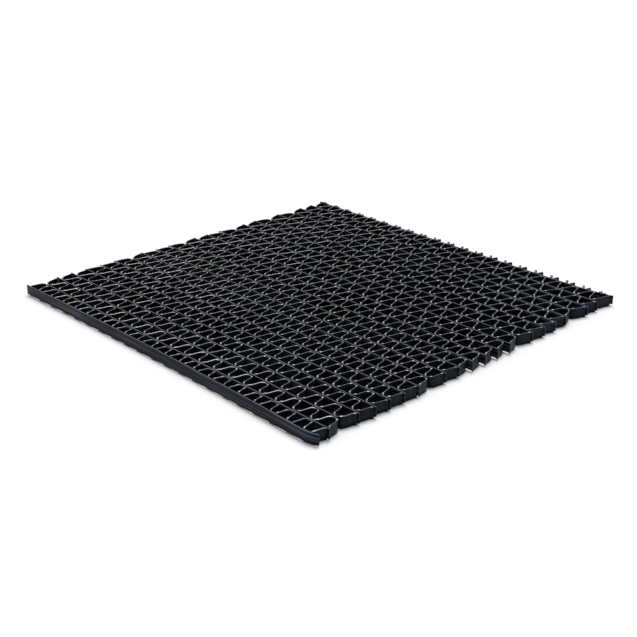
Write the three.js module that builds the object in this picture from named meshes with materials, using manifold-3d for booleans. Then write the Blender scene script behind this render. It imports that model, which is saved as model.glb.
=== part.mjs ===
import * as THREE from "three";
import { mergeVertices } from "three/addons/utils/BufferGeometryUtils.js";
import Module from "manifold-3d";

// Open-grid floor mat of plastic strips set on edge, in millimetres.
// Straight strips run along +X and zigzag strips stand between them, welded to them at every bend.
// +Y runs across the strips, +Z is up, and the mat rests on the bends' lower edges at z = 0.

// Overall layout
const matLength = 512; // along the strips, between the two cut ends, at the near edge
const backCutSkew = 9.6; // the back end is cut off square: the far edge is shorter by this much
const rowPitch = 21.4; // centre to centre of neighbouring straight strips
const rowCount = 23; // whole rows, each between two straight strips
const nearRowSqueeze = 2.1; // the outermost row on the near side was laid this much tighter

// Zigzag strips
const zigzagThickness = 1.5;
const zigzagHeight = 14;
const weldLand = 1.9; // flat of each bend, where it is welded to a straight strip

// Straight strips
const straightThickness = 1.6;
const straightLift = 1.8; // their lower edges stay this far above the floor
const straightTopDrop = 0.4; // and their upper edges this far below the zigzag strips' edges

// Waves of the zigzag strips. The strips were folded by hand, so the wave's length swings from row
// to row in a slow rhythm and a quick one.
const meanWave = 23; // length of one whole wave
const slowSwing = 1.9;
const slowRhythm = 20.2; // rows from one longest wave to the next
const slowLongestRow = 17.7; // where in the rows the wave is the longest
const quickSwing = 0.65;
const quickRhythm = 9.45;
const quickLongestRow = 1.5;
const cutRowWave = 24; // wave of the row that the far edge is cut through
const firstBendX = -4.5; // a near bend of the first row, from the middle of the mat

// A row's near bends lie back to back with the far bends of the row before it, except in these
// rows, which were laid off them by this share of a wave.
const laidOff = {
  3: 0.4,
  4: 0.5,
  6: 0.2,
  8: -0.2,
  10: -0.1,
  11: 0.3,
  13: -0.3,
  16: -0.4,
  17: 0.2,
  18: 0.3,
  21: 0.4,
  22: 0.2,
  23: 0.3,
};

// Far edge, where the mat is cut along a zigzag strip and only its stubs are left
const stubReachBack = 3.4; // from the last straight strip's face to the cut, at the back end
const stubReachFront = 9.6; // and at the front end
const stubSink = 0.5; // how far a stub's weld runs into the straight strip

const leastEdge = 0.3; // an outline point nearer than this to a cut end is left out
const spareBends = 1; // bends laid out past each cut end
const cutMargin = 5; // how far the cutting block reaches past what it cuts

// Colour and finish of the moulded plastic
const plasticColour = 0x14161b;
const plasticRoughness = 0.42;

const backEnd = -matLength / 2;
const frontEnd = matLength / 2;
const straightHeight = zigzagHeight - straightLift - straightTopDrop;
const straightMiddle = straightLift + straightHeight / 2;
const farStripY = rowCount * rowPitch - nearRowSqueeze;

const wasm = await Module();
wasm.setup();

function plastic() {
  return new THREE.MeshStandardMaterial({
    color: plasticColour,
    roughness: plasticRoughness,
    metalness: 0,
  });
}

// Middle plane of a straight strip, counted from the near edge strip at y = 0.
function stripY(index) {
  return index === 0 ? 0 : index * rowPitch - nearRowSqueeze;
}

function extrude(points, height) {
  return new THREE.ExtrudeGeometry(new THREE.Shape(points), {
    depth: height,
    bevelEnabled: false,
  });
}

// Where the back end is cut, at a distance y from the near edge strip.
function backCutAt(y) {
  return backEnd + (backCutSkew * y) / farStripY;
}

function straightStrip(y) {
  const start = backCutAt(y);
  const strip = new THREE.BoxGeometry(frontEnd - start, straightThickness, straightHeight);
  return strip.translate((start + frontEnd) / 2, 0, 0);
}

// Plastic between a bend's flat and the corner inside it, so that the legs keep their thickness.
function bendDepth(clearWidth, halfWave) {
  const run = halfWave - weldLand;
  const reach = Math.hypot(clearWidth, run);
  const root = Math.sqrt(reach * reach - zigzagThickness * zigzagThickness);
  const slope =
    (clearWidth * run - zigzagThickness * root) /
    (run * run - zigzagThickness * zigzagThickness);
  return clearWidth - slope * (halfWave - weldLand / 2);
}

// A chain of points sorted by x, cut between start and end with a point on each cut.
function cutToLength(chain, start, end) {
  const heightAt = (x) => {
    const next = chain.findIndex((point) => point.x >= x);
    const a = chain[next - 1];
    const b = chain[next];
    return a.y + ((b.y - a.y) * (x - a.x)) / (b.x - a.x);
  };
  const inside = chain.filter(
    (point) => point.x > start + leastEdge && point.x < end - leastEdge,
  );
  return [
    new THREE.Vector2(start, heightAt(start)),
    ...inside,
    new THREE.Vector2(end, heightAt(end)),
  ];
}

// Plan outline of a zigzag strip between the faces of two straight strips, from start to end.
function zigzagOutline(nearFace, farFace, wave, bendX, start, end) {
  const halfWave = wave / 2;
  const firstBend = Math.floor((backEnd - bendX) / halfWave) - spareBends;
  const lastBend = Math.ceil((frontEnd - bendX) / halfWave) + spareBends;
  const depth = bendDepth(farFace - nearFace, halfWave);
  const nearChain = [];
  const farChain = [];
  for (let bend = firstBend; bend <= lastBend; bend += 1) {
    const x = bendX + bend * halfWave;
    const left = x - weldLand / 2;
    const right = x + weldLand / 2;
    if (bend % 2 === 0) {
      nearChain.push(new THREE.Vector2(left, nearFace), new THREE.Vector2(right, nearFace));
      farChain.push(new THREE.Vector2(x, nearFace + depth));
    } else {
      nearChain.push(new THREE.Vector2(x, farFace - depth));
      farChain.push(new THREE.Vector2(left, farFace), new THREE.Vector2(right, farFace));
    }
  }
  return [...cutToLength(nearChain, start, end), ...cutToLength(farChain, start, end).reverse()];
}

function rhythm(row, longestRow, rows) {
  return Math.cos((2 * Math.PI * (row - longestRow)) / rows);
}

function waveOf(row) {
  if (row === rowCount) return cutRowWave;
  return (
    meanWave +
    slowSwing * rhythm(row, slowLongestRow, slowRhythm) +
    quickSwing * rhythm(row, quickLongestRow, quickRhythm)
  );
}

// Place along X of the near bend that is nearest to the middle of the mat.
function nearBendOf(row) {
  let x = firstBendX;
  for (let passed = 1; passed <= row; passed += 1) {
    const wave = waveOf(passed);
    x += waveOf(passed - 1) / 2 + (laidOff[passed] ?? 0) * wave;
    x -= wave * Math.round(x / wave);
  }
  return x;
}

function rowOutline(row) {
  const nearFace = stripY(row) + straightThickness / 2;
  const farFace = stripY(row + 1) - straightThickness / 2;
  const start = backCutAt((nearFace + farFace) / 2);
  return zigzagOutline(nearFace, farFace, waveOf(row), nearBendOf(row), start, frontEnd);
}

// The row that the far edge is cut through. Its legs are held by their near bends alone, so it runs
// from the first whole near bend to the last one, with the leg outside each.
function cutRowOutline() {
  const nearFace = farStripY + straightThickness / 2 - stubSink;
  const farFace = stripY(rowCount + 1) - straightThickness / 2;
  const wave = waveOf(rowCount);
  const bendX = nearBendOf(rowCount);
  const start = backCutAt((nearFace + farFace) / 2);
  const firstBend = bendX + wave * Math.ceil((start + weldLand / 2 - bendX) / wave);
  const lastBend = bendX + wave * Math.floor((frontEnd - weldLand / 2 - bendX) / wave);
  const stubsStart = Math.max(start, firstBend - wave / 2);
  const stubsEnd = Math.min(frontEnd, lastBend + wave / 2);
  return zigzagOutline(nearFace, farFace, wave, bendX, stubsStart, stubsEnd);
}

function toSolid(geometry) {
  const bare = geometry.clone();
  bare.deleteAttribute("normal");
  bare.deleteAttribute("uv");
  const merged = mergeVertices(bare);
  return new wasm.Manifold(
    new wasm.Mesh({
      numProp: 3,
      vertProperties: merged.getAttribute("position").array,
      triVerts: new Uint32Array(merged.index.array),
    }),
  );
}

function toGeometry(solid) {
  const mesh = solid.getMesh();
  const geometry = new THREE.BufferGeometry();
  geometry.setAttribute("position", new THREE.BufferAttribute(mesh.vertProperties, 3));
  geometry.setIndex(new THREE.BufferAttribute(mesh.triVerts, 1));
  geometry.computeVertexNormals();
  return geometry;
}

// The last straight strip with the stubs of the zigzag strip that the cut ran through.
function farEdgeGeometry() {
  const strip = straightStrip(farStripY);
  strip.translate(0, farStripY, straightMiddle);
  const cutRow = extrude(cutRowOutline(), zigzagHeight);
  const face = farStripY + straightThickness / 2;
  const beyond = farStripY + rowPitch + cutMargin;
  const block = extrude(
    [
      new THREE.Vector2(backEnd - cutMargin, face + stubReachBack),
      new THREE.Vector2(frontEnd + cutMargin, face + stubReachFront),
      new THREE.Vector2(frontEnd + cutMargin, beyond),
      new THREE.Vector2(backEnd - cutMargin, beyond),
    ],
    zigzagHeight + 2 * cutMargin,
  );
  block.translate(0, 0, -cutMargin);
  return toGeometry(toSolid(strip).add(toSolid(cutRow).subtract(toSolid(block))));
}

const mat = new THREE.Group();

function addPiece(name, geometry, y, z) {
  const piece = new THREE.Mesh(geometry, plastic());
  piece.name = name;
  piece.position.set(0, y, z);
  mat.add(piece);
}

const twoDigits = (count) => String(count).padStart(2, "0");

function addStraightStrip(name, y) {
  addPiece(name, straightStrip(y), y, straightMiddle);
}

addStraightStrip("near_edge_strip", stripY(0));
for (let index = 1; index < rowCount; index += 1) {
  addStraightStrip(`straight_strip_${twoDigits(index)}`, stripY(index));
}
addPiece("far_edge_strip", farEdgeGeometry(), 0, 0);
for (let row = 0; row < rowCount; row += 1) {
  addPiece(`zigzag_strip_${twoDigits(row + 1)}`, extrude(rowOutline(row), zigzagHeight), 0, 0);
}

// The origin is the middle of the footprint, on the floor.
const footprint = new THREE.Box3().setFromObject(mat).getCenter(new THREE.Vector3());
mat.position.y = -footprint.y;

export default mat;
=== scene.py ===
import math
from collections import namedtuple

import bpy
import numpy as np
from mathutils import Euler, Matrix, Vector


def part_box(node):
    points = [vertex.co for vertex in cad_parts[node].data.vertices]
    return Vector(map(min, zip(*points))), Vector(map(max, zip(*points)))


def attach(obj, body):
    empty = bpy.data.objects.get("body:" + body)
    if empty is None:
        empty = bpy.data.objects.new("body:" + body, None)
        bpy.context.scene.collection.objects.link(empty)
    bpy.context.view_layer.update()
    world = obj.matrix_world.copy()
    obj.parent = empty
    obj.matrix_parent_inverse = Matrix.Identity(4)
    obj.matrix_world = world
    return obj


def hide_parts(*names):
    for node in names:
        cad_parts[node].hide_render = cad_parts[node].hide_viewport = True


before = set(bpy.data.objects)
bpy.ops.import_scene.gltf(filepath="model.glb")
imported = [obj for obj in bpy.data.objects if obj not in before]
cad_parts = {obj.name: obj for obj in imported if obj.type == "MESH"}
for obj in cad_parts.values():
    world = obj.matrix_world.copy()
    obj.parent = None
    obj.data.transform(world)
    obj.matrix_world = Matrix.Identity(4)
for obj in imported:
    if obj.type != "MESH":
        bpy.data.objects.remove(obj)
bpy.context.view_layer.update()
bpy.context.scene.view_settings.view_transform = "Standard"

# Lengths below are in millimetres, and a mesh is scaled to metres when it is made.
METRES = 0.001

# The camera of the photograph, worked out from the mat's own straight lines
CAMERA_PLACE = (941.1, -908.8, 555.2)
CAMERA_AZIMUTH = math.radians(135.99)
CAMERA_PITCH = math.radians(23.90)
CAMERA_ROLL = math.radians(0.373)
CAMERA_LENS = 65.65
CAMERA_SENSOR = 36

# Strips, as in the CAD model
ROW_COUNT = 23
STRIP_THICKNESS = 1.6
ZIGZAG_THICKNESS = 1.5
MEAN_WAVE = 23
SLOW_SWING, SLOW_RHYTHM, SLOW_LONGEST_ROW = 1.9, 20.2, 17.7
QUICK_SWING, QUICK_RHYTHM, QUICK_LONGEST_ROW = 0.65, 9.45, 1.5
CUT_ROW_WAVE = 24
FIRST_BEND_X = -4.5
LAID_OFF = {3: 0.4, 4: 0.5, 6: 0.2, 8: -0.2, 10: -0.1, 11: 0.3, 13: -0.3, 16: -0.4,
            17: 0.2, 18: 0.3, 21: 0.4, 22: 0.2, 23: 0.3}
CUT_REACH_BACK = 3.4
CUT_REACH_FRONT = 9.6

# How the real strips differ from straight-edged ones
SINK = 0.2  # how far a bend is melted into the strip that it is welded to
NEAR_SQUARENESS, FAR_SQUARENESS = 0.8, 0.8  # how flat the bends lie on their strips
EDGE_SQUARENESS = 4.0  # and on the near edge strip
NEAR_FULLNESS, FAR_FULLNESS = 0.085, 0.03  # share of a half wave that the bends bulge by
LEG_KINK = 0.036  # share that the legs' shoulders are set out by, so that their middles stand square
EDGE_FULLNESS = 0.1  # the first row has only this share of both
FAR_SIDE_EASE = 0.8  # and they shrink by this share towards the far side
NEAR_STRIP_BOW = 3.3  # the near edge strip bows inward by this much in its middle
NEAR_STRIP_LEAN = 2.1  # and its upper edge leans inward of its lower edge there
END_BEND_REACH = 4.2  # the near edge strip's front end is bent in by this much
END_BEND_LENGTH = 17
SPLAY_REACH = 8.2  # and the far edge strip's front end is bent out
SPLAY_LENGTH = 60
NEAR_STRIP_DROP = 0.7  # the near edge strip's lower edge is this much lower than the others'
END_TRIM = 2.4  # a zigzag's last weld lies up to this much further in than the nearest one
END_ROOM = 0.8  # and the nearest one this far from the cut
END_HOLD = 1.7  # the last leg is cut this far before the middle of its last bend
END_BULGE = 1.7  # and bows out by this much
STRIP_HOLD = 0.3  # the straight strips are cut this far past their outermost weld
END_REACH = 75  # the bends this near to a cut end are pushed along to bring a weld to it
STUB_FLARE = 1.5  # the stubs on the far edge are thicker at their ends by this share
STUB_CLEARANCE = 0.4  # and stay this far inside the slanting cut
LEAST_STUB = 2  # shorter ones are left out
EDGE_ROUND = 0.42
TOP_Z = 13.78
HIGHEST_Z = 13.99

# Wander of the strips, as (distance from one random value to the next, size). The distance of
# BEND_WANDER is counted in bends, and the sizes of the lips', the shine's and the thickness's
# wander are shares.
BEND_WANDER = (1, 0.45)
LEAN_WANDER = (60, 0.22)
TOP_WANDER = (22, 0.12)
BOTTOM_WANDER = (30, 0.22)
LIP_WANDER = (7, 0.3)
SHINE_WANDER = (9, 0.3)
STRAIGHT_WANDER = (45, 0.22)
STRAIGHT_TOP_WANDER = (9, 0.08)
STRAIGHT_BOTTOM_WANDER = (25, 0.12)
STRAIGHT_THICKNESS_WANDER = (12, 0.02)
STRAIGHT_LEAN_WANDER = (80, 0.11)
STRAIGHT_TOP_DROP = 0.1
STRAIGHT_THINNING = 0.92

# Welds: a dip at each bend and a lip squeezed up on each leg beside it. Both are measured from the
# face of the straight strip.
WELD_DIP, WELD_WIDTH, WELD_SWELL = 0.85, 1.3, 0.1
LIP_RISE, LIP_PLACE, LIP_WIDTH, LIP_SWELL = 0.24, 2.5, 1.1, 0.42
LEAST_LIP, GREATEST_LIP = 0.35, 1.35
LEG_THINNING = 0.9

# Painted highlight on the upper edges of the legs that lead from a near bend on: palest in the second
# row, and in the other rows towards the back end
SHINE_LEVEL, BACK_SHINE = 1.1, 0.8
SHINY_ROW, SHINY_SPREAD = 1, 1.1
SHINY_STEEPNESS = 0.5

FINE_STEPS = 32
STATION_DISTANCES = (0, 1.4, 2.8, 3.7, 4.5, 5.3, 6.2, 7.6)
STRAIGHT_STEP = 2.0
END_CLEARANCE, STUB_END_CLEARANCE = 1.4, 0.4  # no station this near to a sweep's own ends
END_GRIP = 0.6  # least share of a strip's own direction that a cut end is squared along

dice = np.random.RandomState(20)

# Fine centreline of a row's zigzag. off_strip is the distance from the nearer strip, arc the length
# along the zigzag, and bends the arc length at each bend.
ZigzagPath = namedtuple("ZigzagPath", "x y off_strip arc bends")


def box_mm(node):
    low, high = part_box(node)
    return np.array(low) / METRES, np.array(high) / METRES


def straight_node(index):
    if index == 0:
        return "near_edge_strip"
    if index == ROW_COUNT:
        return "far_edge_strip"
    return f"straight_strip_{index:02d}"


def zigzag_node(row):
    return f"zigzag_strip_{row + 1:02d}"


def back_cut(node):
    return box_mm(node)[0][0]


FRONT_END = box_mm("near_edge_strip")[1][0]
STRAIGHT_LOW = box_mm("near_edge_strip")[0][2]
STRAIGHT_HIGH = box_mm("near_edge_strip")[1][2]
STRIP_Y = [box_mm(straight_node(index))[0][1] + STRIP_THICKNESS / 2 for index in range(ROW_COUNT + 1)]
STRIP_Y.append(2 * STRIP_Y[-1] - STRIP_Y[-2])  # where the strip beyond the cut was


def rhythm(row, longest_row, rows):
    return math.cos(2 * math.pi * (row - longest_row) / rows)


def wave_of(row):
    if row == ROW_COUNT:
        return CUT_ROW_WAVE
    slow = SLOW_SWING * rhythm(row, SLOW_LONGEST_ROW, SLOW_RHYTHM)
    quick = QUICK_SWING * rhythm(row, QUICK_LONGEST_ROW, QUICK_RHYTHM)
    return MEAN_WAVE + slow + quick


def near_bend_of(row):
    x = FIRST_BEND_X
    for passed in range(1, row + 1):
        wave = wave_of(passed)
        x += wave_of(passed - 1) / 2 + LAID_OFF.get(passed, 0) * wave
        x -= wave * round(x / wave)
    return x


def soft_noise(places, wander):
    """Smooth seeded wander along a strip."""
    spacing, size = wander
    knots = np.arange(places.min() - spacing, places.max() + 2 * spacing, spacing)
    values = dice.normal(0, size, len(knots)).clip(-2 * size, 2 * size)
    turn = (places - knots[0]) / spacing
    index = turn.astype(int)
    blend = (1 - np.cos(np.pi * (turn - index))) / 2
    return values[index] * (1 - blend) + values[index + 1] * blend


def bump_at(distance, place, width):
    return np.exp(-(((distance - place) / width) ** 2))


def length_share(x):
    back = back_cut("near_edge_strip")
    return ((x - back) / (FRONT_END - back)).clip(0, 1)


def end_curve(x, length):
    """Rises from 0, this far before the front end, to 1 at the front end."""
    return ((x - FRONT_END + length) / length).clip(0, 1) ** 2


def near_strip_shift(x):
    """How far the near edge strip lies inward of its straight line, at half its height."""
    bow = NEAR_STRIP_BOW * np.sin(np.pi * length_share(x))
    return bow + END_BEND_REACH * end_curve(x, END_BEND_LENGTH)


def near_strip_lean(x):
    return NEAR_STRIP_LEAN * np.sin(np.pi * length_share(x))


def far_strip_shift(x):
    return SPLAY_REACH * end_curve(x, SPLAY_LENGTH)


def bend_shape(turns, near_square, far_square):
    """1 at a near bend and -1 at a far bend, flat at both and steep between them."""
    wave = np.cos(np.pi * turns)
    middle = (near_square + far_square) / 2
    swing = (near_square - far_square) / 2
    raw = np.tanh((middle + swing * wave) * wave)
    return np.where(raw > 0, raw / math.tanh(near_square), raw / math.tanh(far_square))


# Section of a strip as (across, side, share of the rounding), going round it once.
# Side 1 is measured down from the top, and side 0 up from the bottom.
SECTION = ((-1, 0, 1.6), (-1, 1, 1.6), (-1, 1, 1), (-0.74, 1, 0.3), (0, 1, 0), (0.74, 1, 0.3), (1, 1, 1),
           (1, 1, 1.6), (1, 0, 1.6), (1, 0, 1), (0.74, 0, 0.3), (0, 0, 0), (-0.74, 0, 0.3), (-1, 0, 1))


def sweep(x, y, half, bottom, top, lean, melt_and_glint, cut_ends):
    """Vertices, faces and share of melted lip and painted highlight of a strip that follows x, y.
    cut_ends squares both ends to the mat.
    """
    tangent = np.stack([np.gradient(x), np.gradient(y)], 1)
    tangent /= np.linalg.norm(tangent, axis=1)[:, None]
    normal = np.stack([-tangent[:, 1], tangent[:, 0]], 1)
    rings = []
    melts_and_glints = []
    for across, side, share in SECTION:
        z = top - share * EDGE_ROUND if side else bottom + share * EDGE_ROUND
        offset = across * half + lean * (z / HIGHEST_Z - 0.5)
        place = np.stack([x, y], 1) + normal * offset[:, None]
        if cut_ends:
            for end in (0, -1):
                slip = (x[end] - place[end, 0]) / max(tangent[end, 0], END_GRIP)
                place[end] += tangent[end] * slip
            place[:, 0] = place[:, 0].clip(x[0], x[-1])
        rings.append(np.column_stack([place, z]))
        melts_and_glints.append(melt_and_glint * side)
    ring_size = len(SECTION)
    points = np.stack(rings, 1).reshape(-1, 3)
    melt_and_glint_values = np.stack(melts_and_glints, 1).reshape(-1)
    faces = []
    for station in range(len(x) - 1):
        start = station * ring_size
        for corner in range(ring_size):
            after = (corner + 1) % ring_size
            faces.append((start + corner, start + ring_size + corner,
                          start + ring_size + after, start + after))
    last = (len(x) - 1) * ring_size
    faces.append(tuple(range(ring_size)))
    faces.append(tuple(last + corner for corner in reversed(range(ring_size))))
    return points, faces, melt_and_glint_values


def make_piece(name, sweeps, material):
    """One object from several sweeps, with its cut ends shaded sharp."""
    points = []
    faces = []
    melts_and_glints = []
    count = 0
    for sweep_points, sweep_faces, sweep_melt_and_glint in sweeps:
        points.append(sweep_points)
        melts_and_glints.append(sweep_melt_and_glint)
        faces += [tuple(corner + count for corner in face) for face in sweep_faces]
        count += len(sweep_points)
    mesh = bpy.data.meshes.new(name)
    mesh.from_pydata((np.concatenate(points) * METRES).tolist(), [], faces)
    mesh.update()
    mesh.polygons.foreach_set("use_smooth", [True] * len(mesh.polygons))
    sharp = mesh.attributes.new("sharp_edge", "BOOLEAN", "EDGE")
    flags = np.zeros(len(mesh.edges), bool)
    for face in mesh.polygons:
        if face.loop_total > 4:
            for loop in face.loop_indices:
                flags[mesh.loops[loop].edge_index] = True
    sharp.data.foreach_set("value", flags)
    # This share of melted lip and painted leg highlight sets a painted pale highlight in the material
    melted = mesh.attributes.new("melt_and_glint", "FLOAT", "POINT")
    melted.data.foreach_set("value", np.concatenate(melts_and_glints))
    mesh.materials.append(material)
    piece = bpy.data.objects.new(name, mesh)
    bpy.context.scene.collection.objects.link(piece)
    return piece


def push_to_cut(x, cut, inward):
    """Moves the bends near a cut end along, so that one of them is welded right at the cut, and bows
    the leg that leads to it outward."""
    bend_places = x[::FINE_STEPS]
    target = cut + inward * (END_ROOM + dice.uniform(0, END_TRIM))
    nearest = np.abs(bend_places - target).argmin()
    ramp = (1 - inward * (x - bend_places[nearest]) / END_REACH).clip(0, 1)
    moved = x + (target - bend_places[nearest]) * ramp * ramp * (3 - 2 * ramp)
    from_end = inward * (np.arange(len(x)) / FINE_STEPS - nearest)
    return moved - inward * END_BULGE * np.sin(np.pi * from_end.clip(0, 1)) ** 2


def bend_fullness(row, turns):
    """How far a leg's shoulders are set out along the strips, in half waves."""
    even = (NEAR_FULLNESS + FAR_FULLNESS) / 2
    swing = (NEAR_FULLNESS - FAR_FULLNESS) / 2
    fullness = (even + swing * np.cos(np.pi * turns)) * np.sin(2 * np.pi * turns)
    fullness -= LEG_KINK * np.sin(4 * np.pi * turns)
    return fullness * (EDGE_FULLNESS if row == 0 else 1 - FAR_SIDE_EASE * row / ROW_COUNT)


def zigzag_path(row):
    half_wave = wave_of(row) / 2
    bend = near_bend_of(row)
    first = math.floor((back_cut("near_edge_strip") - bend) / half_wave) - 1
    last = math.ceil((FRONT_END - bend) / half_wave) + 1
    turns = np.linspace(first, last, (last - first) * FINE_STEPS + 1)
    x = bend + (turns + bend_fullness(row, turns)) * half_wave + soft_noise(turns, BEND_WANDER)
    if row < ROW_COUNT:
        x = push_to_cut(x, back_cut(zigzag_node(row)), 1)
        x = push_to_cut(x, FRONT_END, -1)
    reach = ZIGZAG_THICKNESS / 2 - SINK
    near = STRIP_Y[row] + STRIP_THICKNESS / 2 + reach + np.zeros_like(x)
    far = STRIP_Y[row + 1] - STRIP_THICKNESS / 2 - reach + np.zeros_like(x)
    if row == 0:
        near += near_strip_shift(x)
    if row == ROW_COUNT:
        near += far_strip_shift(x)
    if row >= ROW_COUNT - 1:
        far += far_strip_shift(x)
    near_square = EDGE_SQUARENESS if row == 0 else NEAR_SQUARENESS
    y = (near + far) / 2 - (far - near) / 2 * bend_shape(turns, near_square, FAR_SQUARENESS)
    arc = np.concatenate([[0], np.cumsum(np.hypot(np.diff(x), np.diff(y)))])
    return ZigzagPath(x, y, np.minimum(y - near, far - y), arc, arc[::FINE_STEPS])


def zigzag_ends(row):
    """Arc lengths at which a row's zigzag begins and ends, at its outermost welds."""
    path = PATHS[row]
    start = np.interp(back_cut(zigzag_node(row)), path.x, path.arc)
    end = np.interp(FRONT_END, path.x, path.arc)
    first_weld = path.bends[path.bends > start].min()
    last_weld = path.bends[path.bends < end].max()
    return first_weld + END_HOLD, last_weld - END_HOLD


def welds_on(index):
    """Places along X of the welds on a straight strip, from the rows on both its sides."""
    welds = []
    for row in (index - 1, index):
        path = PATHS[row]
        first, last = zigzag_ends(row)
        held = (path.bends > first - 2 * END_HOLD) & (path.bends < last + 2 * END_HOLD)
        places = np.interp(path.bends[held], path.arc, path.x)
        across = np.interp(places, path.x, path.y)
        welds.append(places[np.abs(across - STRIP_Y[index]) < 2 * STRIP_THICKNESS])
    return np.concatenate(welds)


def strip_ends(index):
    """Where a straight strip begins and ends along X: at its outermost welds."""
    back = back_cut(straight_node(index))
    if index in (0, ROW_COUNT):
        return back, FRONT_END
    welds = welds_on(index)
    return max(back, welds.min() - STRIP_HOLD), min(FRONT_END, welds.max() + STRIP_HOLD)


def leg_stations(bends):
    """Arc lengths of the stations: close together at the bends, further apart on the legs."""
    stations = []
    for start, end in zip(bends[:-1], bends[1:]):
        stations += [start + distance for distance in STATION_DISTANCES]
        stations.append((start + end) / 2)
        stations += [end - distance for distance in reversed(STATION_DISTANCES[1:])]
    stations.append(bends[-1])
    return np.array(stations)


def leg_shine(row, x, y):
    """How strongly the upper edge is painted with a pale highlight along x, y."""
    steepness = np.gradient(y) / np.hypot(np.gradient(x), np.gradient(y))
    second_row = bump_at(row, SHINY_ROW, SHINY_SPREAD)
    others = BACK_SHINE * (1 - length_share(x))
    level = SHINE_LEVEL * np.maximum(second_row, others) * (1 + soft_noise(x, SHINE_WANDER))
    return level * (steepness > SHINY_STEEPNESS)


def zigzag_sweep(row, start, end, cut_ends):
    """Sweep of a row's zigzag between two arc lengths."""
    path = PATHS[row]
    clear = END_CLEARANCE if cut_ends else STUB_END_CLEARANCE
    stations = leg_stations(path.bends)
    inside = stations[(stations > start + clear) & (stations < end - clear)]
    at = np.concatenate([[start], inside, [end]])
    to_strip = np.interp(at, path.arc, path.off_strip)
    strength = (1 + soft_noise(at, LIP_WANDER)).clip(LEAST_LIP, GREATEST_LIP)
    lip = bump_at(to_strip, LIP_PLACE, LIP_WIDTH) * strength
    dip = bump_at(to_strip, 0, WELD_WIDTH)
    top = TOP_Z + soft_noise(at, TOP_WANDER) - WELD_DIP * dip + LIP_RISE * lip
    bottom = np.abs(soft_noise(at, BOTTOM_WANDER))
    half = ZIGZAG_THICKNESS / 2 * (LEG_THINNING + LIP_SWELL * lip + WELD_SWELL * dip)
    if not cut_ends:
        half = half * (1 + STUB_FLARE * (to_strip / to_strip.max()) ** 2)
    lean = soft_noise(at, LEAN_WANDER)
    place_x = np.interp(at, path.arc, path.x)
    place_y = np.interp(at, path.arc, path.y)
    if row == 0:
        from_edge = (place_y - STRIP_Y[0]) / (STRIP_Y[1] - STRIP_Y[0])
        lean += near_strip_lean(place_x) * (1 - from_edge).clip(0, 1) ** 2
    # The lips' strength, and the painted highlight on the shiny legs
    melt_and_glint = np.maximum(lip, leg_shine(row, place_x, place_y))
    return sweep(place_x, place_y, half, bottom, np.minimum(top, HIGHEST_Z), lean, melt_and_glint, cut_ends)


def zigzag_piece(row, material):
    start, end = zigzag_ends(row)
    name = f"zigzag_{row + 1:02d}_detailed"
    return make_piece(name, [zigzag_sweep(row, start, end, True)], material)


def straight_sweep(index):
    back, front = strip_ends(index)
    x = np.linspace(back, front, round((front - back) / STRAIGHT_STEP) + 1)
    y = np.full_like(x, STRIP_Y[index])
    wander = soft_noise(x, STRAIGHT_WANDER)
    if index == 0:
        y = y + near_strip_shift(x)
        wander = np.abs(wander)
    if index == ROW_COUNT:
        y = y + far_strip_shift(x)
    y = y + wander
    top = STRAIGHT_HIGH - STRAIGHT_TOP_DROP + soft_noise(x, STRAIGHT_TOP_WANDER)
    bottom = STRAIGHT_LOW + np.abs(soft_noise(x, STRAIGHT_BOTTOM_WANDER))
    half = STRIP_THICKNESS / 2 * (STRAIGHT_THINNING + soft_noise(x, STRAIGHT_THICKNESS_WANDER))
    lean = soft_noise(x, STRAIGHT_LEAN_WANDER)
    if index == 0:
        lean = near_strip_lean(x)
        bottom -= NEAR_STRIP_DROP
    return sweep(x, y, half, bottom, np.minimum(top, STRAIGHT_HIGH), lean, np.zeros_like(x), True)


def stub_sweeps():
    """The stubs that are left of the zigzag beyond the last straight strip."""
    path = PATHS[ROW_COUNT]
    face = STRIP_Y[ROW_COUNT] + STRIP_THICKNESS / 2 + far_strip_shift(path.x)
    cut = face + CUT_REACH_BACK + (CUT_REACH_FRONT - CUT_REACH_BACK) * length_share(path.x)
    furthest = box_mm("far_edge_strip")[1][1] - ZIGZAG_THICKNESS
    kept = path.y < np.minimum(cut - STUB_CLEARANCE, furthest)
    kept &= (path.x > back_cut("far_edge_strip")) & (path.x < FRONT_END)
    edges = np.flatnonzero(np.diff(kept.astype(int)))
    sweeps = []
    for first, last in zip(edges[::2] + 1, edges[1::2]):
        start, end = path.arc[first], path.arc[last]
        is_welded = path.off_strip[first:last].min() < ZIGZAG_THICKNESS
        if end - start > LEAST_STUB and is_welded:
            sweeps.append(zigzag_sweep(ROW_COUNT, start, end, False))
    return sweeps


def link(tree, output, target):
    tree.links.new(output, target)


def math_node(tree, operation, first, second):
    node = tree.nodes.new("ShaderNodeMath")
    node.operation = operation
    for socket, value in zip(node.inputs, (first, second)):
        if isinstance(value, (int, float)):
            socket.default_value = value
        else:
            link(tree, value, socket)
    return node.outputs[0]


def noise_node(tree, coordinates, scale, stretch=(1, 1, 1), detail=2):
    mapping = tree.nodes.new("ShaderNodeMapping")
    mapping.inputs["Scale"].default_value = stretch
    link(tree, coordinates, mapping.inputs["Vector"])
    noise = tree.nodes.new("ShaderNodeTexNoise")
    noise.inputs["Scale"].default_value = scale
    noise.inputs["Detail"].default_value = detail
    link(tree, mapping.outputs[0], noise.inputs["Vector"])
    return noise.outputs["Fac"]


def map_range(tree, value, span, result=(0, 1)):
    node = tree.nodes.new("ShaderNodeMapRange")
    for socket, number in zip(("From Min", "From Max", "To Min", "To Max"), span + result):
        node.inputs[socket].default_value = number
    link(tree, value, node.inputs["Value"])
    return node.outputs["Result"]


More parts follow.
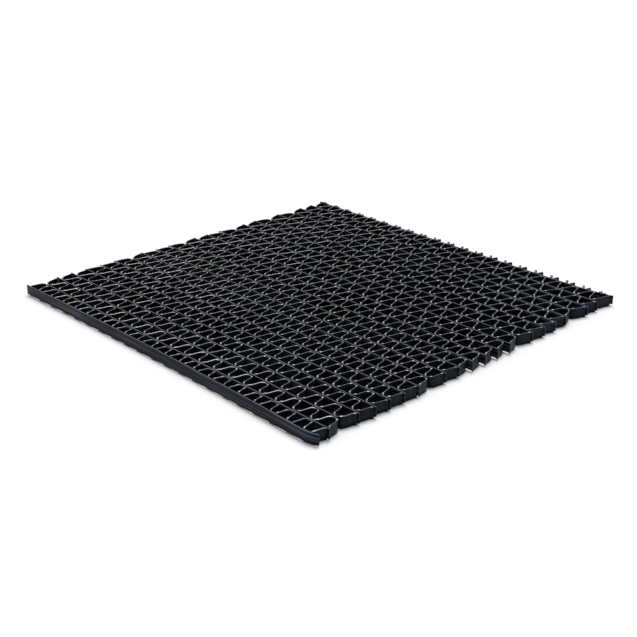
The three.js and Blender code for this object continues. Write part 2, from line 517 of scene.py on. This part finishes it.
def mix_colour(tree, factor, first, second):
    node = tree.nodes.new("ShaderNodeMix")
    node.data_type = "RGBA"
    link(tree, factor, node.inputs["Factor"])
    for socket, value in ((node.inputs[6], first), (node.inputs[7], second)):
        if isinstance(value, tuple):
            socket.default_value = value
        else:
            link(tree, value, socket)
    return node.outputs[2]


def upward_part(tree, vector):
    split = tree.nodes.new("ShaderNodeSeparateXYZ")
    link(tree, vector, split.inputs[0])
    return split.outputs["Z"]


# Painted highlight: the grey that the upward-facing rims are lightened to
RIM_HIGHLIGHT_GREY = (0.145, 0.143, 0.143, 1)
# Painted highlight: the pale grey of the melted lips and shiny legs
LIP_GLINT_GREY = (0.50, 0.49, 0.475, 1)
# Painted shade: the near-black that the strips' lower edges darken to
LOW_EDGE_SHADE = (0.0012, 0.0015, 0.0022, 1)
LOW_EDGE_SHADE_SPAN = (0.0022, 0.0048)  # metres above the floor, over which the painted shade fades
SPECULAR_TINT = (0.50, 0.61, 0.76, 1)
SPECULAR_LEVEL = 0.13
COAT_ROUGHNESS = 0.16
PATCH_SCALE, GRAIN_SCALE = 28, 1400
LINE_SCALES = (9, 9, 520)  # long along the strips, and fine across them
LINE_SPAN = (0.53, 0.62)
PATCH_SPAN = (0.4, 0.6)
RIM_HIGHLIGHT_SPAN = (0.7, 0.97)  # how much a face looks up, where the painted highlight on the rims grows from 0 to 1
LIP_GLINT_SPAN = (0.25, 0.8)
GRAIN_SPAN, RIM_HIGHLIGHT_LEVELS = (0.3, 0.7), (0.45, 1)
ROUGH_SPAN, ROUGH_LEVELS = (0.3, 0.7), (0.30, 0.50)
MELT_SMOOTHING = 0.16
BUMP_STRENGTH, BUMP_DISTANCE = 0.5, 0.00012
GRAIN_SHARE = 0.35


def plastic_material(name, blue, green, worn):
    """Black soft PVC: lengthwise extrusion lines, painted shade on the lower edges, a painted grey
    highlight on the upward-facing rims, and glossier melted spots and shiny legs with a painted pale
    highlight."""
    material = bpy.data.materials.new(name)
    material.use_nodes = True
    tree = material.node_tree
    shader = tree.nodes["Principled BSDF"]
    place = tree.nodes.new("ShaderNodeTexCoord").outputs["Object"]
    geometry = tree.nodes.new("ShaderNodeNewGeometry")
    upward = upward_part(tree, geometry.outputs["Normal"])
    melt_and_glint_node = tree.nodes.new("ShaderNodeAttribute")
    melt_and_glint_node.attribute_name = "melt_and_glint"
    melt_and_glint = melt_and_glint_node.outputs["Fac"]
    patches = noise_node(tree, place, PATCH_SCALE)
    lines = noise_node(tree, place, 1, LINE_SCALES)
    grain = noise_node(tree, place, GRAIN_SCALE, detail=3)

    faces = mix_colour(tree, map_range(tree, patches, PATCH_SPAN), blue, green)
    faces = mix_colour(tree, map_range(tree, lines, LINE_SPAN), faces, worn)
    # Painted shade, darker towards the strips' lower edges
    low = map_range(tree, upward_part(tree, place), LOW_EDGE_SHADE_SPAN, (1, 0))
    faces = mix_colour(tree, low, faces, LOW_EDGE_SHADE)
    # Painted highlight on the faces that look up, broken by the grain
    rim_highlight = map_range(tree, upward, RIM_HIGHLIGHT_SPAN)
    rim_highlight = math_node(tree, "MULTIPLY", rim_highlight, map_range(tree, grain, GRAIN_SPAN, RIM_HIGHLIGHT_LEVELS))
    # Painted highlight on the upward faces of the melted lips and shiny legs
    lip = math_node(tree, "MULTIPLY", map_range(tree, upward, LIP_GLINT_SPAN),
                    math_node(tree, "MULTIPLY", melt_and_glint, melt_and_glint))
    colour = mix_colour(tree, lip, mix_colour(tree, rim_highlight, faces, RIM_HIGHLIGHT_GREY), LIP_GLINT_GREY)
    link(tree, colour, shader.inputs["Base Color"])
    link(tree, math_node(tree, "MAXIMUM", rim_highlight, lip), shader.inputs["Coat Weight"])
    shader.inputs["Coat Roughness"].default_value = COAT_ROUGHNESS
    shader.inputs["Specular IOR Level"].default_value = SPECULAR_LEVEL
    shader.inputs["Specular Tint"].default_value = SPECULAR_TINT
    rough = map_range(tree, lines, ROUGH_SPAN, ROUGH_LEVELS)
    smoothing = math_node(tree, "MULTIPLY", melt_and_glint, MELT_SMOOTHING)
    link(tree, math_node(tree, "SUBTRACT", rough, smoothing), shader.inputs["Roughness"])

    height = math_node(tree, "ADD", lines, math_node(tree, "MULTIPLY", grain, GRAIN_SHARE))
    bump = tree.nodes.new("ShaderNodeBump")
    bump.inputs["Strength"].default_value = BUMP_STRENGTH
    bump.inputs["Distance"].default_value = BUMP_DISTANCE
    link(tree, height, bump.inputs["Height"])
    link(tree, bump.outputs[0], shader.inputs["Normal"])
    return material


def floor_material():
    material = bpy.data.materials.new("studio_floor")
    material.use_nodes = True
    shader = material.node_tree.nodes["Principled BSDF"]
    shader.inputs["Base Color"].default_value = (0.95, 0.93, 0.935, 1)
    shader.inputs["Roughness"].default_value = 0.9
    shader.inputs["Specular IOR Level"].default_value = 0.1
    return material


FLOOR_SIZE = 14
FLOOR_Z = -0.00005
WORLD_STRENGTH = 0.60


def add_floor():
    bpy.ops.mesh.primitive_plane_add(size=FLOOR_SIZE, location=(0, 0, FLOOR_Z))
    floor = bpy.context.object
    floor.name = "studio_floor"
    floor.data.materials.append(floor_material())


def add_camera():
    data = bpy.data.cameras.new("camera")
    data.lens = CAMERA_LENS
    data.sensor_width = CAMERA_SENSOR
    camera = bpy.data.objects.new("camera", data)
    turn = Euler((0, 0, CAMERA_AZIMUTH - math.pi / 2)).to_matrix()
    tilt = Euler((math.pi / 2 - CAMERA_PITCH, 0, 0)).to_matrix()
    roll = Euler((0, 0, CAMERA_ROLL)).to_matrix()
    camera.matrix_world = (turn @ tilt @ roll).to_4x4()
    camera.location = Vector(CAMERA_PLACE) * METRES
    bpy.context.scene.collection.objects.link(camera)
    bpy.context.scene.camera = camera


def add_sun(name, towards, size, power):
    data = bpy.data.lights.new(name, "SUN")
    data.angle = math.radians(size)
    data.energy = power
    light = bpy.data.objects.new(name, data)
    light.rotation_euler = (-Vector(towards)).to_track_quat("-Z", "Y").to_euler()
    bpy.context.scene.collection.objects.link(light)


def add_world():
    world = bpy.data.worlds.new("studio")
    world.use_nodes = True
    background = world.node_tree.nodes["Background"]
    background.inputs["Color"].default_value = (1, 1, 1, 1)
    background.inputs["Strength"].default_value = WORLD_STRENGTH
    bpy.context.scene.world = world


add_camera()
add_world()
add_floor()
add_sun("soft_key", towards=(-0.26, 0.30, 0.918), size=28, power=1.35)
add_sun("overhead_glint", towards=(-0.10, 0.17, 0.980), size=9, power=0.5)

PATHS = [zigzag_path(row) for row in range(ROW_COUNT + 1)]
strip_plastic = plastic_material("strip_plastic", blue=(0.0026, 0.0048, 0.0105, 1),
                                 green=(0.0024, 0.0056, 0.0085, 1), worn=(0.0450, 0.0560, 0.0750, 1))
zigzag_plastic = plastic_material("zigzag_plastic", blue=(0.0026, 0.0046, 0.0105, 1),
                                  green=(0.0026, 0.0066, 0.0084, 1), worn=(0.0120, 0.0170, 0.0225, 1))
for index in range(ROW_COUNT + 1):
    sweeps = [straight_sweep(index)]
    if index == ROW_COUNT:
        sweeps += stub_sweeps()
    name = straight_node(index).replace("_strip", "")
    piece = make_piece(f"{name}_detailed", sweeps, strip_plastic)
    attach(piece, "root")
    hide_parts(straight_node(index))
for row in range(ROW_COUNT):
    piece = zigzag_piece(row, zigzag_plastic)
    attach(piece, "root")
    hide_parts(f"zigzag_strip_{row + 1:02d}")
